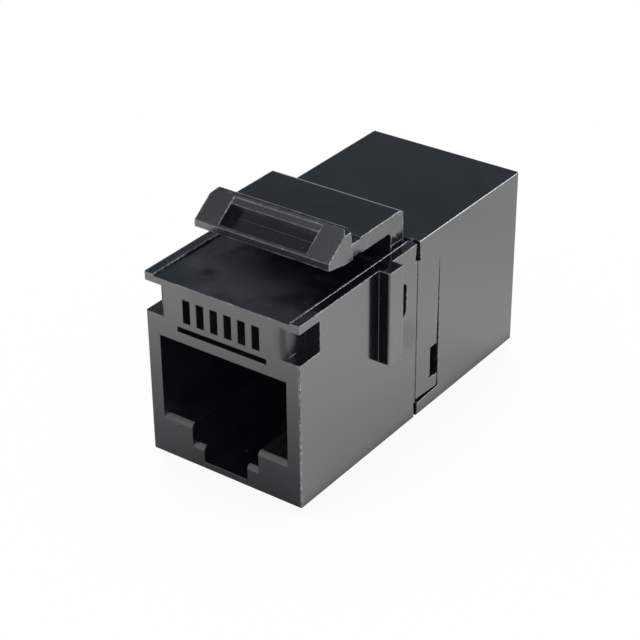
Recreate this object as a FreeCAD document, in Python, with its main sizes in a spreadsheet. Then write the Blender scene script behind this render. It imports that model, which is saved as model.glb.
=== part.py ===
import FreeCAD, Part
import math
import os
import Sketcher

# Keystone coupler: two snapped-together housings with a modular socket at each end
# Housings and inner parts are drawn from their own mouth: Y is the depth behind it
# The row frame has its origin under the middle of the part, at its lowest point

document = FreeCAD.newDocument("KeystoneCoupler")
sheet = document.addObject("Spreadsheet::Sheet", "Sizes")

SIZES = [
    # Outer body
    ("body_width", 14.5),
    ("body_height", 16.0),
    ("rear_step", 0.08),
    ("total_length", 30.8),
    ("seam_past_middle", 0.2),
    ("seam_gap", 0.12),
    ("edge_round", 0.15),
    ("seam_chamfer", 0.05),
    # Socket mouth and cavity
    ("port_wall", 1.25),
    ("port_floor", 3.7),
    ("port_head", 5.15),
    ("ledge_width", 6.4),
    ("ledge_floor", 2.0),
    ("tab_width", 4.2),
    ("tab_floor", 0.65),
    ("mouth_round", 0.4),
    # Walls round the collar, the contact carriers inside it and the board between them
    ("side_skin", 1.05),
    ("foot_skin", 1.2),
    ("roof_skin", 1.6),
    ("collar_wall", 0.65),
    ("collar_gap", 0.1),
    ("fit_gap", 0.05),
    ("comb_block", 2.2),
    ("slab_front", 5.0),
    ("slab_gap", 0.1),
    ("slab_thickness", 1.7),
    ("board_thickness", 1.2),
    ("pin_hole_radius", 0.32),
    # Contacts
    ("contact_count", 8),
    ("contact_pitch", 1.016),
    ("contact_width", 0.45),
    ("contact_thickness", 0.3),
    ("channel_width", 0.55),
    ("channel_height", 0.55),
    ("comb_depth", 0.8),
    ("comb_drop", 4.15),
    ("bend_setback", 0.95),
    ("bend_radius", 0.55),
    ("tip_tuck", 0.35),
    ("tip_drop", 3.65),
    ("pin_rise", 1.55),
    ("pin_beyond_board", 0.3),
    ("jog_setback", 1.3),
    ("jog_radius", 0.4),
    # Snap tongue in each side of the rear housing, and the boss it holds
    ("tongue_length", 3.1),
    ("tongue_drop", 1.9),
    ("tongue_foot", 1.5),
    ("tongue_slit", 0.06),
    ("tongue_slit_swell", 0.17),
    ("tongue_slit_foot", 0.18),
    ("tongue_foot_gap", 0.22),
    ("tongue_foot_fall", 0.11),
    ("tongue_foot_flare", 0.22),
    ("tongue_corner", 0.1),
    ("window_length", 1.1),
    ("window_low", 2.6),
    ("window_height", 2.95),
    ("window_point", 0.35),
    ("window_point_rise", 0.12),
    ("boss_proud", 0.4),
    ("boss_gap", 0.1),
    # Wedge-shaped reliefs at the seam
    ("top_relief_drop", 1.6),
    ("top_relief_half", 0.36),
    ("foot_relief_high", 1.35),
    ("foot_relief_half", 0.26),
    ("relief_slant", 0.15),
    ("relief_cut", 0.7),
    # Shallow recess in the top of the front housing
    ("rim_width", 0.9),
    ("rim_round", 0.12),
    ("recess_cut", 0.15),
    # Notches in the upper front corners
    ("notch_inset", 1.33),
    ("notch_lip", 0.7),
    ("notch_height", 2.65),
    ("notch_depth", 2.55),
    ("notch_round", 0.6),
    # Stop rib on each side and the slit behind it
    ("rib_to_seam", 3.6),
    ("rib_length", 1.83),
    ("rib_height", 8.05),
    ("rib_proud", 1.0),
    ("rib_front_round", 0.2),
    ("rib_corner_round", 0.8),
    ("slit_setback", 1.05),
    ("slit_drop", 2.75),
    ("slit_height", 3.0),
    ("slit_width", 1.0),
    ("slit_cut", 0.3),
    # Plain slots in the face above the socket
    ("slot_count", 6),
    ("slot_pitch", 1.3),
    ("slot_width", 0.7),
    ("slot_drop", 1.3),
    ("slot_height", 2.0),
    ("slot_spacing", 0.5),
    ("long_slot_height", 0.45),
    ("long_slot_overhang", 0.6),
    ("slot_cut", 1.2),
    # The panel's edge sits between the rib and the lug below or the catch above
    ("panel_gap", 2.07),
    # Fixed lug under the front housing
    ("lug_inset", 2.25),
    ("lug_length", 2.9),
    ("lug_ramp", 1.2),
    ("lug_drop", 1.1),
    # Flexing latch on top
    ("latch_clearance", 0.23),
    ("root_to_seam", 1.32),
    ("root_thickness", 1.64),
    ("seat_gap", 0.05),
    ("plate_rise", 1.5),
    ("plate_thickness", 1.35),
    ("plate_round", 0.5),
    ("plate_inner_round", 0.55),
    ("neck_length", 1.3),
    ("neck_step_under", 0.16),
    ("neck_step_top", 0.13),
    # Catch at the free end of the latch
    ("catch_overhang", 0.18),
    ("catch_step_under", 0.08),
    ("catch_height", 2.7),
    ("catch_length", 3.05),
    ("catch_heel", 1.04),
    ("catch_nose_rise", 0.35),
    ("catch_nose_height", 0.57),
    ("catch_top_setback", 0.31),
    ("catch_top_flat", 0.3),
    ("catch_corner", 0.35),
    ("grip_wall", 2.2),
    ("grip_setback", 1.2),
    ("grip_floor_rise", 1.04),
    ("grip_lip_length", 0.42),
    ("grip_lip_cut", 0.1),
]

for row, (alias, number) in enumerate(SIZES, start=1):
    sheet.set("A%d" % row, alias)
    sheet.set("B%d" % row, str(number))
    sheet.setAlias("B%d" % row, alias)
document.recompute()


class Size:
    """A length together with the sheet expression that gives it."""

    def __init__(self, number, text):
        self.number = float(number)
        self.text = text

    def __add__(self, other):
        other = as_size(other)
        return Size(self.number + other.number, "(%s + %s)" % (self.text, other.text))

    def __sub__(self, other):
        other = as_size(other)
        return Size(self.number - other.number, "(%s - %s)" % (self.text, other.text))

    def __mul__(self, factor):
        factor = as_size(factor)
        return Size(self.number * factor.number, "(%s * %s)" % (self.text, factor.text))

    def __truediv__(self, factor):
        factor = as_size(factor)
        return Size(self.number / factor.number, "(%s / %s)" % (self.text, factor.text))

    def __neg__(self):
        return Size(-self.number, "(0 - %s)" % self.text)


def as_size(value):
    if isinstance(value, Size):
        return value
    return Size(value, "%.6g" % value if value >= 0 else "(0 - %.6g)" % -value)


class Sizes:
    """The sheet's cells by name, each as a Size."""

    def __init__(self, rows):
        for alias, number in rows:
            setattr(self, alias, Size(number, "Sizes." + alias))


size = Sizes(SIZES)

# Cuts run this far past what they cut, and added forms start this far inside their carrier
OVERSHOOT = 1.0
BITE = 0.3
# Points nearer than this are one point
TOLERANCE = 1e-4

# Widths that follow from the driving sizes, from the middle plane outward
body_half = size.body_width / 2
port_half = body_half - size.port_wall
socket_half = body_half - size.side_skin
collar_half = socket_half - size.collar_gap
bay_half = collar_half - size.collar_wall
insert_half = bay_half - size.fit_gap
recess_half = body_half - size.rim_width
latch_half = recess_half - size.latch_clearance
catch_half = latch_half + size.catch_overhang
first_contact = -(size.contact_pitch * (size.contact_count - 1)) / 2
first_slot = -(size.slot_pitch * (size.slot_count - 1)) / 2

# Depths behind a housing's own mouth
middle = size.total_length / 2
board_front = middle - size.board_thickness / 2
board_rear = middle + size.board_thickness / 2
port_depth = board_front - size.comb_block
seam_depth = middle + size.seam_past_middle
front_length = seam_depth - size.seam_gap / 2
rear_length = size.total_length - seam_depth - size.seam_gap / 2
collar_end = size.total_length - port_depth - size.fit_gap
rib_rear = seam_depth - size.rib_to_seam
rib_front = rib_rear - size.rib_length
catch_rear = rib_front - size.panel_gap
root_depth = seam_depth - size.root_to_seam

# Heights above the underside
port_ceiling = size.body_height - size.port_head
hollow_head = size.body_height - size.roof_skin
collar_head = hollow_head - size.collar_gap
bay_head = collar_head - size.collar_wall
insert_head = bay_head - size.fit_gap
collar_foot = size.foot_skin + size.collar_gap
bay_foot = collar_foot + size.collar_wall
insert_foot = bay_foot + size.fit_gap
slab_underside = port_ceiling + size.slab_gap
slab_top = slab_underside + size.slab_thickness
channel_ceiling = slab_underside + size.channel_height
run_height = channel_ceiling - size.contact_thickness / 2
jog_height = run_height + size.pin_rise
rib_low = size.body_height - size.rib_height
notch_high = size.body_height - size.notch_lip
notch_low = notch_high - size.notch_height
recess_floor = size.body_height - size.recess_cut
plate_underside = size.body_height + size.plate_rise
plate_top = plate_underside + size.plate_thickness
catch_underside = plate_underside + size.catch_step_under
catch_top = catch_underside + size.catch_height


def origin_feature(body, role):
    """The body's own origin plane or axis of the given role."""
    for feature in body.Origin.OriginFeatures:
        if feature.Role == role:
            return feature
    raise RuntimeError("no origin feature " + role)


def new_body(label):
    body = document.addObject("PartDesign::Body", label)
    body.Label = label
    return body


def new_sketch(body, name, plane, level):
    """An empty sketch on a plane square to X, Y or Z, at that coordinate."""
    sketch = body.newObject("Sketcher::SketchObject", name)
    role = {"X": "YZ_Plane", "Y": "XZ_Plane", "Z": "XY_Plane"}[plane]
    sketch.AttachmentSupport = [(origin_feature(body, role), "")]
    sketch.MapMode = "FlatFace"
    level = as_size(level)
    if plane == "Y":
        level = -level
    sketch.setExpression("AttachmentOffset.Base.z", level.text)
    return sketch


def bind(sketch, kind, *geometry, value):
    """Adds a constraint of a length and binds it to the sheet."""
    value = as_size(value)
    index = sketch.addConstraint(Sketcher.Constraint(kind, *geometry, value.number))
    sketch.setExpression("Constraints[%d]" % index, value.text)


def fix_point(sketch, geometry, end, place):
    bind(sketch, "DistanceX", -1, 1, geometry, end, value=place[0])
    bind(sketch, "DistanceY", -1, 1, geometry, end, value=place[1])


def vector(place):
    return FreeCAD.Vector(as_size(place[0]).number, as_size(place[1]).number, 0)


def add_outline(sketch, corners):
    """A closed outline of straight lines through corners bound to the sheet."""
    first = sketch.GeometryCount
    total = len(corners)
    for index in range(total):
        start = vector(corners[index])
        end = vector(corners[(index + 1) % total])
        sketch.addGeometry(Part.LineSegment(start, end), False)
    for index in range(total):
        following = first + (index + 1) % total
        sketch.addConstraint(Sketcher.Constraint("Coincident", first + index, 2, following, 1))
    for index, corner in enumerate(corners):
        fix_point(sketch, first + index, 1, corner)


def outline(body, name, plane, level, corners):
    sketch = new_sketch(body, name, plane, level)
    add_outline(sketch, corners)
    return sketch


def rectangle(low, high):
    return [(low[0], low[1]), (high[0], low[1]), (high[0], high[1]), (low[0], high[1])]


def add_circle(sketch, centre, radius):
    radius = as_size(radius)
    place = vector(centre)
    index = sketch.addGeometry(
        Part.Circle(place, FreeCAD.Vector(0, 0, 1), radius.number), False)
    fix_point(sketch, index, 3, centre)
    bind(sketch, "Radius", index, value=radius)


def add_line(sketch, start, end):
    return sketch.addGeometry(Part.LineSegment(start, end), False)


def add_arc(sketch, centre, radius, start, end):
    circle = Part.Circle(centre, FreeCAD.Vector(0, 0, 1), radius)
    return sketch.addGeometry(Part.ArcOfCircle(circle, start, end), False)


def extrude(body, kind, name, sketch, length, reverse=False, midplane=False):
    feature = body.newObject(kind, name)
    feature.Profile = sketch
    feature.setExpression("Length", as_size(length).text)
    feature.Reversed = reverse
    if midplane:
        feature.SideType = "Symmetric"
    document.recompute()
    return feature


def pad(body, name, sketch, length, reverse=False, midplane=False):
    return extrude(body, "PartDesign::Pad", name, sketch, length, reverse, midplane)


def pocket(body, name, sketch, length, reverse=False, midplane=False):
    """Cuts the sketch's outline out of the body, and checks that it cut something."""
    before = body.Shape.Volume
    feature = extrude(body, "PartDesign::Pocket", name, sketch, length, reverse, midplane)
    if not body.Shape.Volume < before:
        raise RuntimeError(name + " cuts nothing")
    return feature


def mirror(body, name, features):
    """Repeats features on the other side of the part's middle plane."""
    feature = body.newObject("PartDesign::Mirrored", name)
    feature.Originals = features
    feature.MirrorPlane = (origin_feature(body, "YZ_Plane"), [""])
    body.Tip = feature
    document.recompute()
    return feature


def repeat_along_x(body, name, features, count, pitch):
    feature = body.newObject("PartDesign::LinearPattern", name)
    feature.Originals = features
    feature.Direction = (origin_feature(body, "X_Axis"), [""])
    feature.setExpression("Occurrences", count.text)
    feature.setExpression("Length", (pitch * (count - 1)).text)
    body.Tip = feature
    document.recompute()
    return feature


def edges_where(body, chosen):
    """The names of the edges of the body so far that pass a test."""
    names = []
    for index, edge in enumerate(body.Shape.Edges, start=1):
        if edge.Length > TOLERANCE and chosen(edge):
            names.append("Edge%d" % index)
    return names


def dress(body, kind, name, chosen, radius):
    """A fillet or a chamfer on the chosen edges of the body so far."""
    tip = body.Tip
    names = edges_where(body, chosen)
    if not names:
        raise RuntimeError(name + " finds no edge")
    feature = body.newObject(kind, name)
    feature.Base = (tip, names)
    feature.setExpression("Radius" if kind.endswith("Fillet") else "Size", radius.text)
    document.recompute()
    return feature


def fillet(body, name, chosen, radius):
    return dress(body, "PartDesign::Fillet", name, chosen, radius)


def chamfer(body, name, chosen, radius):
    return dress(body, "PartDesign::Chamfer", name, chosen, radius)


def near(a, b):
    return abs(a - as_size(b).number) < TOLERANCE


def along(edge, axis):
    """Whether a straight edge runs along X, Y or Z."""
    start = edge.Vertexes[0].Point
    end = edge.Vertexes[-1].Point
    way = end - start
    if way.Length < TOLERANCE:
        return False
    return abs(abs(getattr(way, axis)) - way.Length) < TOLERANCE


def middle_of(edge):
    return edge.CenterOfMass


def shell_block(body, height, length, top_rounded):
    """The outer block of a housing, its long edges and mouth edges slightly rounded."""
    base = outline(body, "OuterOutline", "Y", 0,
                   rectangle((-body_half, 0), (body_half, height)))
    pad(body, "OuterBlock", base, length, reverse=True)

    def outer_edge(edge):
        centre = middle_of(edge)
        return (along(edge, "y") or near(centre.y, 0)) and (top_rounded or not near(centre.z, height))

    fillet(body, "OuterEdges", outer_edge, size.edge_round)
    chamfer(body, "SeamEdge", lambda edge: near(middle_of(edge).y, length), size.seam_chamfer)


def port_outline():
    """The socket's mouth: full width, two ledges and the slot for the plug's tab."""
    ledge = size.ledge_width / 2
    tab = size.tab_width / 2
    return [
        (-port_half, port_ceiling),
        (-port_half, size.port_floor),
        (-ledge, size.port_floor),
        (-ledge, size.ledge_floor),
        (-tab, size.ledge_floor),
        (-tab, size.tab_floor),
        (tab, size.tab_floor),
        (tab, size.ledge_floor),
        (ledge, size.ledge_floor),
        (ledge, size.port_floor),
        (port_half, size.port_floor),
        (port_half, port_ceiling),
    ]


def cut_port(body, length):
    """The socket with its rounded ledges, and the bay of the contact carrier behind it."""
    mouth = outline(body, "MouthOutline", "Y", 0, port_outline())
    pocket(body, "Mouth", mouth, port_depth)

    def ledge_edge(edge):
        centre = middle_of(edge)
        heights = (size.port_floor, size.ledge_floor)
        return along(edge, "x") and near(centre.y, 0) and any(near(centre.z, z) for z in heights)

    fillet(body, "MouthLedges", ledge_edge, size.mouth_round)
    bay = outline(body, "BayOutline", "Y", port_depth,
                  rectangle((-bay_half, bay_foot), (bay_half, bay_head)))
    pocket(body, "Bay", bay, length - port_depth + OVERSHOOT)
    slab_bay = outline(body, "SlabBayOutline", "Y", size.slab_front - size.fit_gap,
                       rectangle((-bay_half, port_ceiling - size.fit_gap),
                                 (bay_half, slab_top + size.fit_gap)))
    pocket(body, "SlabBay", slab_bay, length - size.slab_front + OVERSHOOT)


def add_reliefs(body, length, slant):
    """Wedge-shaped gaps in the sides at the seam: one open at the top, one at the foot."""
    height = size.body_height
    low = height - size.top_relief_drop
    high = size.foot_relief_high
    top = outline(body, "TopReliefOutline", "X", body_half + OVERSHOOT, [
        (length + OVERSHOOT, low),
        (length, low),
        (length - size.top_relief_half, low + slant),
        (length - size.seam_chamfer, height + OVERSHOOT),
        (length + OVERSHOOT, height + OVERSHOOT),
    ])
    upper = pocket(body, "TopRelief", top, size.relief_cut + OVERSHOOT)
    foot = outline(body, "FootReliefOutline", "X", body_half + OVERSHOOT, [
        (length + OVERSHOOT, high),
        (length, high),
        (length - size.foot_relief_half, high + slant),
        (length - size.seam_chamfer, -OVERSHOOT),
        (length + OVERSHOOT, -OVERSHOOT),
    ])
    lower = pocket(body, "FootRelief", foot, size.relief_cut + OVERSHOOT)
    return [upper, lower]


def build_front_housing():
    """The front housing: socket, top recess, side ribs, corner notches, lug and collar."""
    body = new_body("front_housing")
    shell_block(body, size.body_height, front_length, top_rounded=False)
    collar = outline(body, "CollarOutline", "Y", front_length - OVERSHOOT,
                     rectangle((-collar_half, collar_foot), (collar_half, collar_head)))
    pad(body, "Collar", collar, collar_end - front_length + OVERSHOOT, reverse=True)
    cut_port(body, collar_end)

    recess = outline(body, "RecessOutline", "Z", size.body_height,
                     rectangle((-recess_half, -OVERSHOOT),
                               (recess_half, front_length + OVERSHOOT)))
    pocket(body, "Recess", recess, size.recess_cut)

    def rim_edge(edge):
        centre = middle_of(edge)
        return (along(edge, "y") and near(abs(centre.x), recess_half)
                and near(centre.z, size.body_height))

    fillet(body, "RimEdges", rim_edge, size.rim_round)
    add_lug(body)

    seat = new_sketch(body, "SeatOutline", "X", 0)
    add_circle(seat, (root_depth, recess_floor), size.root_thickness / 2 + size.seat_gap)
    pocket(body, "LatchSeat", seat, (latch_half + size.seat_gap) * 2, midplane=True)

    sides = [side_rib(body), side_slit(body), corner_notch(body), collar_boss(body)]
    sides += add_reliefs(body, front_length, size.relief_slant)
    mirror(body, "OtherSide", sides)
    round_side_forms(body)
    cut_face_slots(body)
    return body


def add_lug(body):
    """The fixed lug that hooks behind the lower edge of the panel's opening."""
    lug_rear = catch_rear
    lug_front = lug_rear - size.lug_length
    lug = outline(body, "LugOutline", "X", 0, [
        (lug_front, BITE),
        (lug_front, 0),
        (lug_front + size.lug_ramp, -size.lug_drop),
        (lug_rear, -size.lug_drop),
        (lug_rear, BITE),
    ])
    pad(body, "Lug", lug, size.body_width - size.lug_inset * 2, midplane=True)


def side_rib(body):
    """The stop rib, flush with the top of the side."""
    rib = outline(body, "RibOutline", "X", body_half - BITE,
                  rectangle((rib_front, rib_low), (rib_rear, size.body_height)))
    return pad(body, "Rib", rib, size.rib_proud + BITE)


def side_slit(body):
    """The shallow upright slit with round ends behind the rib."""
    half = size.slit_width / 2
    sketch = new_sketch(body, "SlitOutline", "X", body_half + OVERSHOOT)
    centre = rib_rear + size.slit_setback + half
    slit_high = size.body_height - size.slit_drop
    top = (centre, slit_high - half)
    foot = (centre, slit_high - size.slit_height + half)
    upper = add_arc(sketch, vector(top), half.number, 0, math.pi)
    lower = add_arc(sketch, vector(foot), half.number, math.pi, 2 * math.pi)
    left = add_line(sketch, vector((centre - half, top[1])), vector((centre - half, foot[1])))
    right = add_line(sketch, vector((centre + half, foot[1])), vector((centre + half, top[1])))
    for first, end, second, start in ((upper, 2, left, 1), (left, 2, lower, 1),
                                      (lower, 2, right, 1), (right, 2, upper, 1)):
        sketch.addConstraint(Sketcher.Constraint("Tangent", first, end, second, start))
    fix_point(sketch, upper, 3, top)
    fix_point(sketch, lower, 3, foot)
    bind(sketch, "Radius", upper, value=half)
    return pocket(body, "Slit", sketch, size.slit_cut + OVERSHOOT)


def corner_notch(body):
    """The notch cut into the upper front corner from the side."""
    sketch = outline(body, "NotchOutline", "X", body_half + OVERSHOOT,
                     rectangle((-OVERSHOOT, notch_low), (size.notch_depth, notch_high)))
    return pocket(body, "Notch", sketch, size.notch_inset + OVERSHOOT)


def collar_boss(body):
    """The wedge on the collar that the snap tongue's window holds."""
    tongue_edge = size.total_length - rear_length + size.tongue_length
    front = tongue_edge - size.window_length + size.boss_gap
    low = size.window_low + size.window_point
    high = size.window_low + size.window_height
    sketch = outline(body, "BossOutline", "Z", low, [
        (collar_half - BITE, front),
        (collar_half + size.boss_proud, front),
        (collar_half + size.collar_gap, collar_end),
        (collar_half - BITE, collar_end),
    ])
    return pad(body, "Boss", sketch, high - low - size.boss_gap)


def round_side_forms(body):
    """Rounds the edges that show on both sides: rib face, rib corner and notch wall."""

    def rib_face_edge(edge):
        centre = middle_of(edge)
        proud = near(abs(centre.x), body_half + size.rib_proud)
        return proud and along(edge, "z") and near(centre.y, rib_front)

    def rib_corner(edge):
        centre = middle_of(edge)
        return along(edge, "x") and near(centre.y, rib_rear) and near(centre.z, rib_low)

    def notch_wall_edge(edge):
        centre = middle_of(edge)
        on_wall = near(abs(centre.x), body_half - size.notch_inset)
        return on_wall and along(edge, "z") and near(centre.y, 0)

    fillet(body, "RibCorners", rib_corner, size.rib_corner_round)
    fillet(body, "RibFaceEdges", rib_face_edge, size.rib_front_round)
    fillet(body, "NotchWallEdges", notch_wall_edge, size.notch_round)


def cut_face_slots(body):
    """A row of upright slots over one long slot in the face above the socket."""
    half = size.slot_width / 2
    high = size.body_height - size.slot_drop
    low = high - size.slot_height
    long_high = low - size.slot_spacing
    reach = half - first_slot + size.long_slot_overhang
    long_slot = outline(body, "LongSlotOutline", "Y", 0,
                        rectangle((-reach, long_high - size.long_slot_height),
                                  (reach, long_high)))
    pocket(body, "LongSlot", long_slot, size.slot_cut)
    slot = outline(body, "UprightSlotOutline", "Y", 0,
                   rectangle((first_slot - half, low), (first_slot + half, high)))
    cut = pocket(body, "UprightSlot", slot, size.slot_cut)
    repeat_along_x(body, "UprightSlots", [cut], size.slot_count, size.slot_pitch)


def build_rear_housing():
    """The rear housing: socket, hollow for the collar and a snap tongue in each side."""
    body = new_body("rear_housing")
    shell_block(body, size.body_height + size.rear_step, rear_length, top_rounded=True)
    cut_port(body, rear_length)
    hollow = outline(body, "CollarHollowOutline", "Y", port_depth,
                     rectangle((-socket_half, size.foot_skin), (socket_half, hollow_head)))
    pocket(body, "CollarHollow", hollow, rear_length - port_depth + OVERSHOOT)
    sides = [tongue_back(body), tongue_slits(body)]
    sides += add_reliefs(body, rear_length, -size.relief_slant)
    mirror(body, "OtherSide", sides)
    return body


def tongue_back(body):
    """The free space behind the root of the tongue, inside the wall."""
    start = rear_length - size.tongue_length - size.tongue_slit_foot
    sketch = outline(body, "TongueBackOutline", "Y", start,
                     rectangle((bay_half, size.tongue_foot),
                               (socket_half, size.body_height - size.tongue_drop)))
    return pocket(body, "TongueBack", sketch, port_depth - start + size.fit_gap)


def tongue_slits(body):
    """The tapering slit behind and under the tongue, with the window in its rear edge."""
    edge = rear_length - size.tongue_length
    window_front = edge + size.window_length
    window_high = size.window_low + size.window_height
    tongue_top = size.body_height - size.tongue_drop
    lower = size.tongue_foot - size.tongue_foot_gap
    sketch = outline(body, "TongueSlitOutline", "X", body_half + OVERSHOOT, [
        (edge, tongue_top),
        (edge - size.tongue_slit, tongue_top),
        (edge - size.tongue_slit_foot, lower),
        (rear_length + OVERSHOOT, lower - size.tongue_foot_fall),
        (rear_length + OVERSHOOT, size.tongue_foot + size.tongue_foot_flare),
        (edge + size.tongue_corner, size.tongue_foot),
        (edge, size.window_low),
        (window_front + size.window_point, size.window_low + size.window_point_rise),
        (window_front, size.window_low + size.window_point),
        (window_front, window_high),
        (edge + size.tongue_slit_swell, window_high),
    ])
    return pocket(body, "TongueSlit", sketch, size.side_skin + size.collar_gap + OVERSHOOT)


def build_latch():
    """The latch: round-footed root, plate and catch with a finger pocket in its slope."""
    body = new_body("release_latch")
    half_root = size.root_thickness / 2
    front = root_depth - half_root
    rear = root_depth + half_root
    plate_front = catch_rear + size.neck_length
    top_rear = catch_rear - size.catch_top_setback
    neck_under = plate_underside + size.neck_step_under
    neck_top = plate_top - size.neck_step_top
    arm = outline(body, "ArmOutline", "X", 0, [
        (front, recess_floor),
        (rear, recess_floor),
        (rear, plate_top),
        (plate_front, plate_top),
        (plate_front, neck_top),
        (top_rear, neck_top),
        (top_rear, neck_under),
        (plate_front, neck_under),
        (plate_front, plate_underside),
        (front, plate_underside),
    ])
    pad(body, "Arm", arm, latch_half * 2, midplane=True)

    def arm_edge(depth, height):
        return lambda edge: (along(edge, "x") and near(middle_of(edge).y, depth)
                             and near(middle_of(edge).z, height))

    fillet(body, "PlateRound", arm_edge(rear, plate_top), size.plate_round)
    fillet(body, "PlateInnerRound", arm_edge(front, plate_underside), size.plate_inner_round)
    foot = new_sketch(body, "FootOutline", "X", 0)
    add_circle(foot, (root_depth, recess_floor), half_root)
    pad(body, "Foot", foot, latch_half * 2, midplane=True)
    add_catch(body, top_rear)
    return body


def add_catch(body, top_rear):
    """The catch: a sloping wedge with a finger pocket and a shallow lip above the pocket."""
    nose = catch_rear - size.catch_length
    nose_low = catch_underside + size.catch_nose_rise
    nose_high = nose_low + size.catch_nose_height
    slope_end = top_rear - size.catch_top_flat
    catch = outline(body, "CatchOutline", "X", 0, [
        (top_rear, catch_top),
        (slope_end, catch_top),
        (nose, nose_high),
        (nose, nose_low),
        (catch_rear - size.catch_heel, catch_underside),
        (catch_rear, catch_underside),
    ])
    pad(body, "Catch", catch, catch_half * 2, midplane=True)

    def top_corner(edge):
        centre = middle_of(edge)
        return near(abs(centre.x), catch_half) and near(centre.z, catch_top)

    chamfer(body, "CatchCorners", top_corner, size.catch_corner)

    grip_width = (catch_half - size.grip_wall) * 2
    grip_rear = catch_rear - size.grip_setback
    grip = outline(body, "GripOutline", "X", 0,
                   rectangle((nose - OVERSHOOT, catch_underside + size.grip_floor_rise),
                             (grip_rear, catch_top + OVERSHOOT)))
    pocket(body, "Grip", grip, grip_width, midplane=True)

    steepness = (catch_top - nose_high) / (slope_end - nose)
    lip_foot = nose_high + (grip_rear - nose) * steepness - size.grip_lip_cut
    lip_head = lip_foot + size.grip_lip_length * steepness
    lip = outline(body, "GripLipOutline", "X", 0, [
        (grip_rear - BITE, lip_foot - steepness * BITE),
        (grip_rear + size.grip_lip_length, lip_head),
        (grip_rear + size.grip_lip_length, catch_top + OVERSHOOT),
        (grip_rear - BITE, catch_top + OVERSHOOT),
    ])
    pocket(body, "GripLip", lip, grip_width, midplane=True)


def build_insert(label):
    """The contact carrier: a comb wall against the board and a slab along the ceiling."""
    body = new_body(label)
    shape = outline(body, "CarrierOutline", "X", 0, [
        (port_depth, insert_foot),
        (board_front, insert_foot),
        (board_front, insert_head),
        (port_depth, insert_head),
        (port_depth, slab_top),
        (size.slab_front, slab_top),
        (size.slab_front, slab_underside),
        (port_depth, slab_underside),
    ])
    pad(body, "Carrier", shape, insert_half * 2, midplane=True)
    pin_top = jog_height + size.contact_thickness / 2
    run_foot = channel_ceiling - size.contact_thickness
    comb_back = port_depth + size.comb_depth
    comb_foot = run_height - size.comb_drop
    jog_front = port_depth + size.jog_setback - size.contact_thickness
    channel = outline(body, "ChannelOutline", "X", first_contact, [
        (size.slab_front - OVERSHOOT, channel_ceiling),
        (jog_front, channel_ceiling),
        (jog_front, pin_top),
        (board_front + OVERSHOOT, pin_top),
        (board_front + OVERSHOOT, run_foot),
        (comb_back, run_foot),
        (comb_back, comb_foot),
        (port_depth - OVERSHOOT, comb_foot),
        (port_depth - OVERSHOOT, slab_underside - OVERSHOOT),
        (size.slab_front - OVERSHOOT, slab_underside - OVERSHOOT),
    ])
    cut = pocket(body, "Channel", channel, size.channel_width, midplane=True)
    repeat_along_x(body, "Channels", [cut], size.contact_count, size.contact_pitch)
    return body


def build_board():
    """The board that joins the two contact rows, with two rows of pin holes."""
    body = new_body("circuit_board")
    face = outline(body, "BoardOutline", "Y", board_front,
                   rectangle((-insert_half, insert_foot), (insert_half, insert_head)))
    pad(body, "Board", face, size.board_thickness, reverse=True)
    holes = new_sketch(body, "PinHoleOutline", "Y", board_front)
    for height in (run_height, jog_height):
        add_circle(holes, (first_contact, height), size.pin_hole_radius)
    cut = pocket(body, "PinHoles", holes, size.board_thickness)
    repeat_along_x(body, "PinHoleRows", [cut], size.contact_count, size.contact_pitch)
    return body


def tangent_point(centre, radius, outside):
    """Where a line from an outside point touches the front of a circle, and its angle."""
    away = vector(outside) - vector(centre)
    angle = math.atan2(away.y, away.x) - math.acos(radius.number / away.Length)
    way = FreeCAD.Vector(math.cos(angle), math.sin(angle), 0)
    return vector(centre) + way * radius.number, angle % (2 * math.pi)


def add_jog(path, pin_start):
    """The upper row's way from its pin down to the run: two quarter turns and a riser."""
    radius = size.jog_radius
    jog_depth = port_depth + size.jog_setback
    upper_centre = (jog_depth + radius, jog_height - radius)
    lower_centre = (jog_depth - radius, run_height + radius)
    pin = add_line(path, vector(pin_start), vector((upper_centre[0], jog_height)))
    down_turn = add_arc(path, vector(upper_centre), radius.number, math.pi / 2, math.pi)
    riser = add_line(path, vector((jog_depth, upper_centre[1])),
                     vector((jog_depth, lower_centre[1])))
    up_turn = add_arc(path, vector(lower_centre), radius.number, 1.5 * math.pi, 2 * math.pi)
    fix_point(path, pin, 1, pin_start)
    for arc, place in ((down_turn, upper_centre), (up_turn, lower_centre)):
        fix_point(path, arc, 3, place)
        bind(path, "Radius", arc, value=radius)
    joints = [(pin, 2, down_turn, 1), (down_turn, 2, riser, 1), (riser, 2, up_turn, 2)]
    return joints, up_turn, lower_centre[0]


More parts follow.
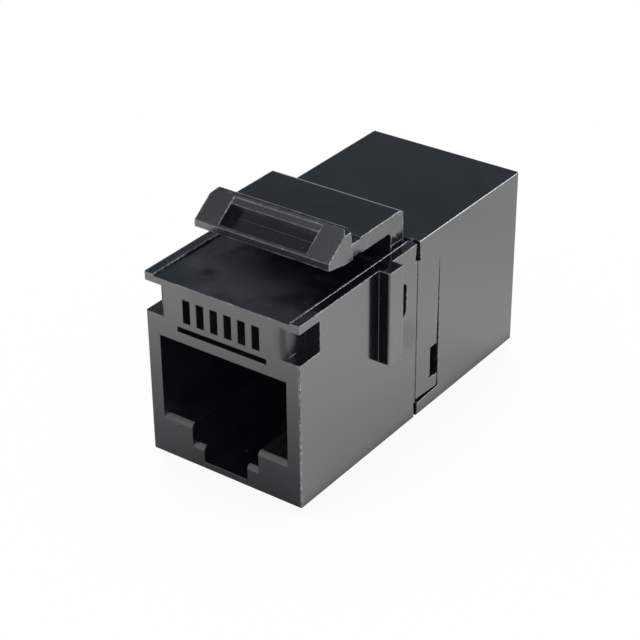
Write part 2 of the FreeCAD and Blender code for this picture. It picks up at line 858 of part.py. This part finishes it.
def build_contact(label, index):
    """One contact spring: pin, run along the ceiling, tight bend and sloping free end."""
    body = new_body(label)
    across = first_contact + size.contact_pitch * index
    upper_row = index % 2 == 1
    pin_start = (board_rear + size.pin_beyond_board, jog_height if upper_row else run_height)
    half_width = size.contact_width / 2
    half_thick = size.contact_thickness / 2
    section = outline(body, "WireOutline", "Y", pin_start[0],
                      rectangle((across - half_width, pin_start[1] - half_thick),
                                (across + half_width, pin_start[1] + half_thick)))

    path = new_sketch(body, "WirePath", "X", across)
    bend_depth = size.slab_front + size.bend_setback
    centre = (bend_depth, run_height - size.bend_radius)
    tip_end = (port_depth + size.tip_tuck, run_height - size.tip_drop)
    touch, angle = tangent_point(centre, size.bend_radius, tip_end)
    run_end = vector((bend_depth, run_height))
    if upper_row:
        joints, up_turn, run_start = add_jog(path, pin_start)
        run = add_line(path, vector((run_start, run_height)), run_end)
        joints.append((up_turn, 1, run, 1))
    else:
        run = add_line(path, vector(pin_start), run_end)
        joints = []
        fix_point(path, run, 1, pin_start)
    bend = add_arc(path, vector(centre), size.bend_radius.number, math.pi / 2, angle)
    tip = add_line(path, touch, vector(tip_end))
    fix_point(path, bend, 3, centre)
    bind(path, "Radius", bend, value=size.bend_radius)
    fix_point(path, tip, 2, tip_end)
    joints += [(run, 2, bend, 1), (bend, 2, tip, 1)]
    for first, end, second, start in joints:
        path.addConstraint(Sketcher.Constraint("Tangent", first, end, second, start))
    document.recompute()

    wire = body.newObject("PartDesign::AdditivePipe", "Wire")
    wire.Profile = section
    wire.Spine = (path, ["Edge%d" % (number + 1) for number in range(path.GeometryCount)])
    document.recompute()
    return body


def place_from_front(body):
    body.setExpression("Placement.Base.y", (-middle).text)
    body.setExpression("Placement.Base.z", size.lug_drop.text)


def place_from_rear(body):
    """Turns a piece half round the upright axis, so that its mouth faces the rear."""
    body.Placement = FreeCAD.Placement(
        FreeCAD.Vector(0, 0, 0), FreeCAD.Rotation(FreeCAD.Vector(0, 0, 1), 180))
    body.setExpression("Placement.Base.y", middle.text)
    body.setExpression("Placement.Base.z", size.lug_drop.text)


front_pieces = [build_front_housing(), build_latch(), build_insert("front_contact_insert"),
                build_board()]
rear_pieces = [build_rear_housing(), build_insert("rear_contact_insert")]
for position in range(int(size.contact_count.number)):
    front_pieces.append(build_contact("front_contact_%d" % (position + 1), position))
    rear_pieces.append(build_contact("rear_contact_%d" % (position + 1), position))
for piece in front_pieces:
    place_from_front(piece)
for piece in rear_pieces:
    place_from_rear(piece)
document.recompute()

# Every feature has to be sound before anything is written
for item in document.Objects:
    faults = [state for state in item.State if state in ("Invalid", "Error")]
    if faults:
        raise RuntimeError("%s is %s" % (item.Name, faults))
for piece in front_pieces + rear_pieces:
    if piece.Shape.isNull() or not piece.Shape.isValid():
        raise RuntimeError(piece.Label + " has no valid shape")
    if len(piece.Shape.Solids) != 1:
        raise RuntimeError("%s has %d solids" % (piece.Label, len(piece.Shape.Solids)))

os.makedirs("parts", exist_ok=True)
for piece in front_pieces + rear_pieces:
    piece.Shape.exportStep("parts/%s.step" % piece.Label)
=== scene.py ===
import math

import bmesh
import bpy
from mathutils import Matrix, Vector


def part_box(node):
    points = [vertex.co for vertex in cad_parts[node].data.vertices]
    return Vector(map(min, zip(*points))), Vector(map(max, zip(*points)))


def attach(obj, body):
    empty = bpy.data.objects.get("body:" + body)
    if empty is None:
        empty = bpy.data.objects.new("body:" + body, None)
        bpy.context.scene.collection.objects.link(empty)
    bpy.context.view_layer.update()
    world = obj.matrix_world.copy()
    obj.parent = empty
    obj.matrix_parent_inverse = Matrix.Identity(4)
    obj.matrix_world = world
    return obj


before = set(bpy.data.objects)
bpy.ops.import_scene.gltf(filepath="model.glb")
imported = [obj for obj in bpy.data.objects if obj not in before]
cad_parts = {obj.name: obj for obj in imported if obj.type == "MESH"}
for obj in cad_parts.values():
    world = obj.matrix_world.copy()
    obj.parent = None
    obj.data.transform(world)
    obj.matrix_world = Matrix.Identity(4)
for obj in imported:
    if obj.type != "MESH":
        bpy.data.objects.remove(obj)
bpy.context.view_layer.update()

MM = 0.001
WHITE = (1.0, 1.0, 1.0, 1.0)
CONTACT_COUNT = 8

# Rays with which the rounding, the rubbing and painted highlight on edges, and the floor's
# shadow are each found
RAY_COUNT = 8

# Camera, solved from the straight edges of the body
CAMERA_AZIMUTH = math.radians(35.956)
CAMERA_ELEVATION = math.radians(30.32)
CAMERA_ROLL = math.radians(-0.481)
CAMERA_PLACE = Vector((75.83, -107.39, 84.77)) * MM
CAMERA_LENS = 105.11
CAMERA_NEAR = 1.0 * MM
SENSOR_WIDTH = 36.0

# Noises that vary the finishes: size of the blotches, detail and roughness
CLOUD = (3.2 * MM, 4.0, 0.5)
FINE = (0.055 * MM, 3.0, 0.65)
MOTTLED = (0.35 * MM, 4.0, 0.7)
RAGGED = (0.3 * MM, 5.0, 0.8)
STRETCHES = (1.3 * MM, 3.0, 0.5)
WIRE_LINES = (0.03 * MM, 2.0, 0.5)
WIRE_CLOUD = (0.6 * MM, 3.0, 0.5)
MASK_CLOUD = (2.0 * MM, 3.0, 0.5)

# Spans of those noises over which a finish changes
NOISE_SPAN = (0.3, 0.7)
MOTTLE_SPAN = (0.35, 0.65)
RAGGED_SPAN = (0.42, 0.58)
STRETCH_SPAN = (0.4, 0.6)

# Black plastic. Each sheen is the roughness in the thin and the thick of the clouds
BLUE_TO_RED = 0.8
PLASTIC_LEVEL = 0.007
PLASTIC_TINT = 0.35
PLASTIC_CLOUDING = 0.14
PLASTIC_SHEEN = (0.12, 0.18)
PLASTIC_IOR = 1.7
PLASTIC_SHINE = 1.0
FINE_SHEEN = (-0.02, 0.03)
COAT = 1.0
COAT_ROUGH = 0.1
MOTTLE = 0.15
GRAIN_DEPTH = 0.0015 * MM
GRAIN_CLOUD = 0.6
HOUSING_GRAIN = 0.8
LATCH_GRAIN = 1.2
LATCH_PALE = 0.9
LATCH_MOTTLE = 0.6
CARRIER_LEVEL = 0.022
CARRIER_SHEEN = (0.5, 0.62)
CARRIER_SHINE = 0.5
CARRIER_GRAIN = 1.0

# Edges: how far they are rounded and rubbed, and how pale the rubbing is, which also paints a
# highlight along them
EDGE_ROUND = 0.1 * MM
EDGE_WEAR_AND_HIGHLIGHT = 0.13 * MM
EDGE_WEAR_AND_HIGHLIGHT_SPAN = (0.6, 0.95)
EDGE_PALE = 0.5
EDGE_LEVEL = 0.55
EDGE_TINT = 0.15
RAGGED_LOW = 0.1
STRETCH_LOW = 0.25

# Depths under the housings' faces where the rubbing and its painted edge highlight start and
# where they are full
SIDE_SKIN = (1.1 * MM, 0.935 * MM)
END_SKIN = (0.4 * MM, 0.0)
CORNER_SKIN = (0.17 * MM, 0.085 * MM)
UPPER_SPAN = (16.3 * MM, 16.7 * MM)

# Dust
DUST_SPACING = 1.3 * MM
DUST_RADIUS = 0.06 * MM
DUST_CORE = 0.5
DUST_PALE = 0.35

# Dull smudges on the housings, each a place, a radius and a depth
SMUDGES = [
    ((-7.25 * MM, -15.4 * MM, 1.6 * MM), 5.6 * MM, 1.0),
    ((7.25 * MM, -1.3 * MM, 9.6 * MM), 2.6 * MM, 0.5),
    ((6.0 * MM, -15.0 * MM, 15.1 * MM), 1.9 * MM, 1.0),
    ((0.0 * MM, -10.6 * MM, 17.0 * MM), 9.0 * MM, 0.5),
]
SMUDGE_SPAN = (0.7, 1.2)
SMUDGE_HAZE = 0.025
SMUDGE_ROUGH = 0.4

# Lips of the sockets' ledges
LIP_LENGTH = 0.38 * MM
LIP_LOW = 2.4 * MM
LIP_HIGH = 5.0 * MM
LIP_SLOPE = 0.707
LIP_UPWARD = 0.12

# Contacts
GOLD_LIGHT = (0.86, 0.6, 0.22, 1.0)
GOLD_DARK = (0.72, 0.47, 0.16, 1.0)
GOLD_METALLIC = 0.7
GOLD_SHEEN = (0.3, 0.5)
LINE_STRETCH = (1.0, 0.05, 0.4)
LINE_DEPTH = 0.002 * MM

# Circuit board
MASK_DARK = (0.012, 0.09, 0.035, 1.0)
MASK_LIGHT = (0.02, 0.14, 0.055, 1.0)
MASK_DEEP = (0.01, 0.06, 0.03, 1.0)
MASK_CLOUDING = 0.4
MASK_SHEEN = (0.18, 0.3)
WEAVE_PITCH = 1.2 * MM
WEAVE_WAVER = 0.6
WEAVE_SHARE = 0.5
WEAVE_DEPTH = 0.004 * MM

# Fine raised edges beside the top recess. The section's points are outward and upward, in mm
BEAD_PLACE = 6.35 * MM
BEAD_TOP = 17.1 * MM
BEAD_END = 0.1 * MM
BEAD_REAR = 0.05 * MM
BEAD_TAPER = 0.2
BEAD_SECTION = [(-0.02, -0.13), (-0.02, 0.02), (0.01, 0.035), (0.04, 0.04), (0.07, 0.03),
                (0.09, 0.01), (0.1, -0.02)]

# World: heights and levels from the horizon up, and the darker side before the part
WORLD_LEVELS = [(0.0, 1.0), (0.1, 1.0), (0.35, 0.09), (0.84, 0.09), (0.92, 2.0)]
WORLD_TINT = 0.2
WORLD_FRONT = 0.5
WORLD_FRONT_SPAN = (-0.4, -0.1)

# Second reflections, counted by the turns that a ray has made, are dimmer
DEEP_SPAN = (1.0, 2.0)
WORLD_DEEP = 0.7
FLOOR_DEEP = 0.03

# Floor: its colour, and the shadow under the part as it is seen and as it is mirrored
FLOOR_HALF = 3.0
FLOOR_COLOUR = (0.9, 0.9, 0.9, 1.0)
FLOOR_ROUGH = 0.9
SHADE_REACH = 30.0 * MM
SHADE_SPAN = (0.5, 0.9)
SHADE_SEEN = 0.95
SHADE_FOOT = 0.9

# Painted shade on the floor, which shows only in reflections: its levels before the part and to
# the right of it
FRONT_LEFT = 0.9
FRONT_MIDDLE = 0.62
FRONT_ACROSS = (-22.0 * MM, 5.0 * MM)
FRONT_FOOT = 0.3
FRONT_ALONG = (-38.0 * MM, -15.4 * MM)
RIGHT_ACROSS = (7.0 * MM, 9.0 * MM)
RIGHT_REAR = 0.68
RIGHT_ALONG = (6.0 * MM, 34.0 * MM)
RIGHT_CORNER = 0.35
RIGHT_CORNER_ALONG = (-22.0 * MM, -14.0 * MM)

# Lamps
LAMP_AIM = Vector((0.0, 0.0, 9.0 * MM))
BACK_PLACE = Vector((0.22, 0.224, 0.07))
BACK_WIDTH = 0.1
BACK_POWER = 0.22
FILL_PLACE = Vector((0.2, -0.26, 0.16))
FILL_WIDTH = 0.12
FILL_POWER = 0.45


class Nodes:
    """A node tree and short ways to add nodes to it."""

    def __init__(self, tree):
        self.tree = tree

    def feed(self, target, value):
        """Sets a socket to a value, or links it to another node's output."""
        if isinstance(value, bpy.types.NodeSocket):
            self.tree.links.new(value, target)
        else:
            target.default_value = value

    def add(self, kind, inputs, **settings):
        """Adds a node, whose inputs are values or other nodes' outputs."""
        node = self.tree.nodes.new(kind)
        for name, value in settings.items():
            setattr(node, name, value)
        for name, value in inputs.items():
            self.feed(node.inputs[name], value)
        return node

    def axis(self, name, vector):
        """A vector's X, Y or Z."""
        return self.add("ShaderNodeSeparateXYZ", {"Vector": vector}).outputs[name]

    def math(self, operation, first, second=0.0):
        node = self.add("ShaderNodeMath", {0: first, 1: second}, operation=operation)
        return node.outputs["Value"]

    def plus(self, first, second):
        return self.math("ADD", first, second)

    def times(self, first, second):
        return self.math("MULTIPLY", first, second)

    def larger(self, first, second):
        return self.math("MAXIMUM", first, second)

    def rest(self, share):
        """What a share leaves of 1."""
        return self.math("SUBTRACT", 1.0, share)

    def spread(self, value, span, low, high):
        """Maps a span of values onto low to high, and holds at its ends."""
        inputs = {"Value": value, "From Min": span[0], "From Max": span[1],
                  "To Min": low, "To Max": high}
        return self.add("ShaderNodeMapRange", inputs).outputs["Result"]

    def mix(self, share, first, second, kind="RGBA"):
        """Blends two colours, or two vectors."""
        inputs = {"Factor": share, "A": first, "B": second}
        return self.add("ShaderNodeMix", inputs, data_type=kind).outputs["Result"]


class Shader(Nodes):
    """A material and its nodes, most of which work from the place on the piece."""

    def __init__(self, name):
        self.material = bpy.data.materials.new(name)
        self.material.use_nodes = True
        super().__init__(self.material.node_tree)
        self.surface = self.tree.nodes["Principled BSDF"]
        self.place = self.add("ShaderNodeTexCoord", {}).outputs["Object"]

    def give(self, name, value):
        """Sets or links one of the surface's own sockets."""
        self.feed(self.surface.inputs[name], value)

    def along(self, name):
        """The place along the X, Y or Z axis."""
        return self.axis(name, self.place)

    def stretched(self, scale):
        """The place, scaled along each axis."""
        node = self.add("ShaderNodeMapping", {"Vector": self.place, "Scale": scale})
        return node.outputs["Vector"]

    def noise(self, size, detail, roughness, place=None):
        """Noise whose blotches measure about size, in metres."""
        inputs = {"Vector": place or self.place, "Scale": 1.0 / size,
                  "Detail": detail, "Roughness": roughness}
        return self.add("ShaderNodeTexNoise", inputs).outputs["Fac"]

    def rounded(self, radius):
        """The surface's direction with every edge rounded off, for shading alone."""
        bevel = self.add("ShaderNodeBevel", {"Radius": radius}, samples=RAY_COUNT)
        return bevel.outputs["Normal"]

    def worn_and_highlit(self, reach):
        """0 on flat faces, rising to 1 beside convex edges, where the solid is thin."""
        inner = self.add("ShaderNodeAmbientOcclusion", {"Distance": reach},
                         samples=RAY_COUNT, inside=True, only_local=True)
        return self.spread(inner.outputs["AO"], EDGE_WEAR_AND_HIGHLIGHT_SPAN, 1.0, 0.0)

    def skin(self, name, half, depths):
        """1 just under the two faces across an axis, 0 deeper inside."""
        start, full = depths
        away = self.math("ABSOLUTE", self.along(name))
        return self.spread(away, (half - start, half - full), 0.0, 1.0)

    def outside(self, shell):
        """1 in the sides of the housings and at their upper ends, 0 in their sockets."""
        end = self.skin("Y", shell.y, END_SKIN)
        upper = self.spread(self.along("Z"), UPPER_SPAN, 0.0, 1.0)
        return self.larger(self.skin("X", shell.x, SIDE_SKIN), self.times(end, upper))

    def corner(self, shell):
        """1 along the upright corners of the housings, which get a painted highlight line with
        their rubbing.
        """
        return self.times(self.skin("X", shell.x, CORNER_SKIN),
                          self.skin("Y", shell.y, CORNER_SKIN))

    def flattened_lips(self, direction):
        """Turns the rounded front edges of the sockets' ledges into even 45-degree lips, in the
        shading direction alone.
        """
        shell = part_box("rear_housing")[1]
        along = self.along("Y")
        height = self.along("Z")
        facing = self.add("ShaderNodeNewGeometry", {}).outputs["True Normal"]
        at_mouth = self.math("GREATER_THAN", self.math("ABSOLUTE", along), shell.y - LIP_LENGTH)
        upward = self.math("GREATER_THAN", self.axis("Z", facing), LIP_UPWARD)
        above = self.math("GREATER_THAN", height, LIP_LOW)
        below = self.math("LESS_THAN", height, LIP_HIGH)
        lip = self.times(self.times(at_mouth, upward), self.times(above, below))
        outward = self.times(self.math("SIGN", along), LIP_SLOPE)
        slope = self.add("ShaderNodeCombineXYZ", {"Y": outward, "Z": LIP_SLOPE})
        return self.mix(lip, direction, slope.outputs["Vector"], kind="VECTOR")

    def patch(self, centre, radius, ragged):
        """1 at a place, falling to 0 at a radius, with a ragged outline."""
        away = self.add("ShaderNodeVectorMath", {0: self.place, 1: centre},
                        operation="DISTANCE")
        near = self.spread(away.outputs["Value"], (0.0, radius), 1.0, 0.0)
        return self.spread(self.plus(near, ragged), SMUDGE_SPAN, 0.0, 1.0)

    def specks(self):
        """1 in a few small dots of dust, 0 elsewhere."""
        reach = DUST_RADIUS / DUST_SPACING
        inputs = {"Vector": self.place, "Scale": 1.0 / DUST_SPACING}
        away = self.add("ShaderNodeTexVoronoi", inputs).outputs["Distance"]
        return self.spread(away, (DUST_CORE * reach, reach), 1.0, 0.0)

    def bump(self, height, depth, direction=None):
        """The surface's direction over a fine relief, laid on a given direction or its own."""
        node = self.add("ShaderNodeBump", {"Height": height, "Distance": depth})
        if direction is not None:
            self.feed(node.inputs["Normal"], direction)
        return node.outputs["Normal"]


def grey(level, cool=0.0):
    """A grey that leans to blue."""
    return (level * (1.0 - BLUE_TO_RED * cool), level, level * (1.0 + cool), 1.0)


def rubbed_and_highlit_edges(shader, on_housing):
    """1 where the edges are rubbed and a highlight is painted along them, in ragged stretches,
    and 0 elsewhere.
    """
    edge = shader.worn_and_highlit(EDGE_WEAR_AND_HIGHLIGHT)
    if on_housing:
        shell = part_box("rear_housing")[1]
        edge = shader.larger(shader.times(edge, shader.outside(shell)), shader.corner(shell))
    ragged = shader.spread(shader.noise(*RAGGED), RAGGED_SPAN, RAGGED_LOW, 1.0)
    stretches = shader.spread(shader.noise(*STRETCHES), STRETCH_SPAN, STRETCH_LOW, 1.0)
    return shader.times(shader.times(edge, ragged), stretches)


def smudged(shader, ragged):
    """How dull the housings are in their smudges, and 0 elsewhere."""
    dull = 0.0
    for centre, radius, depth in SMUDGES:
        mark = shader.times(shader.patch(centre, radius, ragged), depth)
        dull = shader.larger(dull, mark)
    return dull


def black_plastic(name, level=PLASTIC_LEVEL, sheen=PLASTIC_SHEEN, shine=PLASTIC_SHINE,
                  grain=HOUSING_GRAIN, pale=EDGE_PALE, mottle=MOTTLE, on_housing=False):
    """Moulded black plastic: fine grain, a cloudy sheen, and paler, ragged edges, partly rubbing
    and partly a painted highlight.
    """
    shader = Shader(name)
    cloud = shader.noise(*CLOUD)
    fine = shader.noise(*FINE)
    dull = smudged(shader, cloud) if on_housing else 0.0

    tone = shader.mix(shader.spread(cloud, NOISE_SPAN, 0.0, 1.0),
                      grey(level * (1.0 - PLASTIC_CLOUDING), PLASTIC_TINT),
                      grey(level * (1.0 + PLASTIC_CLOUDING), PLASTIC_TINT))
    # Pale rubbed edges with a painted highlight, dust specks, and the smudges' haze
    pale_spots_and_highlights = shader.larger(shader.times(rubbed_and_highlit_edges(shader, on_housing), pale),
                               shader.times(shader.specks(), DUST_PALE))
    pale_spots_and_highlights = shader.larger(pale_spots_and_highlights, shader.times(dull, SMUDGE_HAZE))
    shader.give("Base Color", shader.mix(pale_spots_and_highlights, tone, grey(EDGE_LEVEL, EDGE_TINT)))

    rough = shader.plus(shader.spread(cloud, NOISE_SPAN, *sheen),
                        shader.spread(fine, NOISE_SPAN, *FINE_SHEEN))
    shader.give("Roughness", shader.plus(rough, shader.times(dull, SMUDGE_ROUGH)))
    shader.give("IOR", PLASTIC_IOR)
    shader.give("Specular IOR Level", shine)

    marks = shader.spread(shader.noise(*MOTTLED), MOTTLE_SPAN, 0.0, mottle)
    coat = shader.math("SUBTRACT", COAT, shader.larger(marks, dull))
    shader.give("Coat Weight", coat)
    shader.give("Coat Roughness", COAT_ROUGH)

    direction = shader.rounded(EDGE_ROUND)
    if on_housing:
        direction = shader.flattened_lips(direction)
    height = shader.plus(shader.times(fine, grain), shader.times(cloud, GRAIN_CLOUD))
    shader.give("Normal", shader.bump(height, GRAIN_DEPTH, direction))
    return shader.material


def gold_plating():
    """Gold plating on drawn spring wire: fine drawing lines and darker stretches."""
    shader = Shader("contact_metal")
    lines = shader.noise(*WIRE_LINES, place=shader.stretched(LINE_STRETCH))
    cloud = shader.noise(*WIRE_CLOUD)
    tone = shader.mix(shader.spread(cloud, NOISE_SPAN, 0.0, 1.0), GOLD_LIGHT, GOLD_DARK)
    shader.give("Base Color", tone)
    shader.give("Metallic", GOLD_METALLIC)
    shader.give("Roughness", shader.spread(lines, NOISE_SPAN, *GOLD_SHEEN))
    shader.give("Normal", shader.bump(lines, LINE_DEPTH))
    return shader.material


def board_laminate():
    """Green solder mask over woven glass: a faint weave and a glossy, uneven coat."""
    shader = Shader("board")
    inputs = {"Vector": shader.place, "Scale": 1.0 / WEAVE_PITCH, "Distortion": WEAVE_WAVER}
    weave = shader.add("ShaderNodeTexWave", inputs, bands_direction="X").outputs["Fac"]
    cloud = shader.noise(*MASK_CLOUD)
    tone = shader.mix(shader.spread(weave, (0.0, 1.0), 0.0, WEAVE_SHARE), MASK_DARK, MASK_LIGHT)
    tone = shader.mix(shader.spread(cloud, NOISE_SPAN, 0.0, MASK_CLOUDING), tone, MASK_DEEP)
    shader.give("Base Color", tone)
    shader.give("Roughness", shader.spread(cloud, NOISE_SPAN, *MASK_SHEEN))
    shader.give("Normal", shader.bump(weave, WEAVE_DEPTH))
    return shader.material


def dress(names, material):
    """Gives CAD pieces their finish."""
    for name in names:
        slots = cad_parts[name].data.materials
        slots.clear()
        slots.append(material)


def make_rim_bead(name, side, material):
    """The fine raised edge between the top recess and the rim beside it."""
    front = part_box("front_housing")[0].y + BEAD_END
    rows = [(front, BEAD_TAPER), (front + BEAD_END, 1.0),
            (BEAD_REAR - BEAD_END, 1.0), (BEAD_REAR, BEAD_TAPER)]
    points = []
    for along, share in rows:
        for out, up in BEAD_SECTION:
            rise = up * share if up > 0.0 else up
            points.append((side * (BEAD_PLACE + out * MM), along, BEAD_TOP + rise * MM))
    count = len(BEAD_SECTION)
    last = len(points) - count
    faces = [tuple(range(count)), tuple(range(last, last + count))]
    for row in range(0, last, count):
        for step in range(count):
            following = (step + 1) % count
            faces.append((row + step, row + following,
                          row + count + following, row + count + step))
    mesh = bpy.data.meshes.new(name)
    mesh.from_pydata(points, [], faces)
    shape = bmesh.new()
    shape.from_mesh(mesh)
    bmesh.ops.recalc_face_normals(shape, faces=shape.faces)
    shape.to_mesh(mesh)
    shape.free()
    mesh.polygons.foreach_set("use_smooth", [True] * len(mesh.polygons))
    mesh.materials.append(material)
    bead = bpy.data.objects.new(name, mesh)
    bpy.context.scene.collection.objects.link(bead)
    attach(bead, "coupler_body")


def floor_white():
    """White with the part's shadow, and with painted shade that shows only where the glossy
    plastic mirrors it.
    """
    shader = Shader("floor_white")
    shader.give("Base Color", FLOOR_COLOUR)
    shader.give("Roughness", FLOOR_ROUGH)
    rays = shader.add("ShaderNodeLightPath", {}).outputs
    glossy = rays["Is Glossy Ray"]
    open_sky = shader.add("ShaderNodeAmbientOcclusion", {"Distance": SHADE_REACH},
                          samples=RAY_COUNT).outputs["AO"]
    across = shader.along("X")
    along = shader.along("Y")

    # Painted shade on the floor as it is mirrored: darker before the part towards its foot and
    # middle, and beside it towards its rear and front right corner
    front = shader.times(shader.spread(across, FRONT_ACROSS, FRONT_LEFT, FRONT_MIDDLE),
                         shader.spread(along, FRONT_ALONG, 1.0, FRONT_FOOT))
    beside = shader.times(shader.spread(along, RIGHT_ALONG, 1.0, RIGHT_REAR),
                          shader.spread(along, RIGHT_CORNER_ALONG, RIGHT_CORNER, 1.0))
    right = shader.spread(across, RIGHT_ACROSS, 0.0, 1.0)
    level = shader.plus(shader.times(right, beside), shader.times(shader.rest(right), front))
    turns = shader.spread(rays["Glossy Depth"], DEEP_SPAN, 1.0, FLOOR_DEEP)
    foot = shader.math("POWER", open_sky, SHADE_FOOT)
    mirrored = shader.times(shader.times(level, turns), foot)

    shadow = shader.spread(open_sky, SHADE_SPAN, SHADE_SEEN, 1.0)
    shown = shader.plus(shader.times(mirrored, glossy),
                        shader.times(shadow, shader.rest(glossy)))
    glow = shader.add("ShaderNodeEmission", {"Color": WHITE, "Strength": shown})
    seen = shader.plus(shader.plus(rays["Is Camera Ray"], rays["Is Transmission Ray"]), glossy)
    inputs = {0: seen, 1: shader.surface.outputs["BSDF"], 2: glow.outputs["Emission"]}
    blend = shader.add("ShaderNodeMixShader", inputs)
    output = shader.tree.nodes["Material Output"]
    shader.feed(output.inputs["Surface"], blend.outputs["Shader"])
    return shader.material


def make_floor():
    """A plain floor, far wider than the part."""
    half = FLOOR_HALF
    mesh = bpy.data.meshes.new("floor")
    corners = [(-half, -half, 0.0), (half, -half, 0.0), (half, half, 0.0), (-half, half, 0.0)]
    mesh.from_pydata(corners, [], [(0, 1, 2, 3)])
    mesh.materials.append(floor_white())
    floor = bpy.data.objects.new("floor", mesh)
    bpy.context.scene.collection.objects.link(floor)


def make_lamp(name, place, width, power, mirrored):
    """A soft square lamp facing the part, which shows in glossy surfaces or only lights them."""
    data = bpy.data.lights.new(name, "AREA")
    data.size = width
    data.energy = power
    lamp = bpy.data.objects.new(name, data)
    lamp.location = place
    lamp.rotation_euler = (LAMP_AIM - place).to_track_quat("-Z", "Y").to_euler()
    lamp.visible_glossy = mirrored
    bpy.context.scene.collection.objects.link(lamp)


def make_world():
    """A white band at the horizon under a dim dome that brightens overhead."""
    world = bpy.data.worlds.new("studio")
    world.use_nodes = True
    studio = Nodes(world.node_tree)
    place = studio.add("ShaderNodeTexCoord", {}).outputs["Generated"]
    rays = studio.add("ShaderNodeLightPath", {}).outputs

    dome = studio.add("ShaderNodeValToRGB", {"Fac": studio.axis("Z", place)})
    ramp = dome.color_ramp
    ramp.interpolation = "EASE"
    while len(ramp.elements) < len(WORLD_LEVELS):
        ramp.elements.new(1.0)
    for element, (height, level) in zip(ramp.elements, WORLD_LEVELS):
        element.position = height
        element.color = grey(level, WORLD_TINT if level < 1.0 else 0.0)

    front = studio.spread(studio.axis("Y", place), WORLD_FRONT_SPAN, 1.0, 0.0)
    sky = studio.mix(front, dome.outputs["Color"], grey(WORLD_FRONT))
    seen = studio.plus(rays["Is Camera Ray"], rays["Is Transmission Ray"])
    turns = studio.spread(rays["Glossy Depth"], DEEP_SPAN, 1.0, WORLD_DEEP)
    background = studio.tree.nodes["Background"]
    studio.feed(background.inputs["Color"], studio.mix(seen, sky, WHITE))
    studio.feed(background.inputs["Strength"], turns)
    bpy.context.scene.world = world


def make_camera():
    """The camera, at the place and angle from which the part was photographed."""
    forward = Vector((-math.sin(CAMERA_AZIMUTH) * math.cos(CAMERA_ELEVATION),
                      math.cos(CAMERA_AZIMUTH) * math.cos(CAMERA_ELEVATION),
                      -math.sin(CAMERA_ELEVATION)))
    level = Vector((math.cos(CAMERA_AZIMUTH), math.sin(CAMERA_AZIMUTH), 0.0))
    upright = level.cross(forward)
    right = level * math.cos(CAMERA_ROLL) + upright * math.sin(CAMERA_ROLL)
    up = upright * math.cos(CAMERA_ROLL) - level * math.sin(CAMERA_ROLL)
    data = bpy.data.cameras.new("camera")
    data.lens = CAMERA_LENS
    data.sensor_width = SENSOR_WIDTH
    data.clip_start = CAMERA_NEAR
    camera = bpy.data.objects.new("camera", data)
    turn = Matrix((right, up, -forward)).transposed().to_4x4()
    camera.matrix_world = Matrix.Translation(CAMERA_PLACE) @ turn
    bpy.context.scene.collection.objects.link(camera)
    bpy.context.scene.camera = camera


make_camera()
make_world()
make_floor()
make_lamp("back_lamp", BACK_PLACE, BACK_WIDTH, BACK_POWER, mirrored=True)
make_lamp("fill_lamp", FILL_PLACE, FILL_WIDTH, FILL_POWER, mirrored=False)
bpy.context.scene.view_settings.view_transform = "Standard"

housing_plastic = black_plastic("black_plastic", on_housing=True)
latch_plastic = black_plastic("latch_plastic", grain=LATCH_GRAIN, pale=LATCH_PALE,
                              mottle=LATCH_MOTTLE)
carrier_plastic = black_plastic("carrier_plastic", level=CARRIER_LEVEL, sheen=CARRIER_SHEEN,
                                shine=CARRIER_SHINE, grain=CARRIER_GRAIN)
contacts = [f"{end}_contact_{number}" for end in ("front", "rear")
            for number in range(1, CONTACT_COUNT + 1)]
dress(["front_housing", "rear_housing"], housing_plastic)
dress(["release_latch"], latch_plastic)
dress(["front_contact_insert", "rear_contact_insert"], carrier_plastic)
dress(contacts, gold_plating())
dress(["circuit_board"], board_laminate())
make_rim_bead("rim_bead_left", -1, housing_plastic)
make_rim_bead("rim_bead_right", 1, housing_plastic)
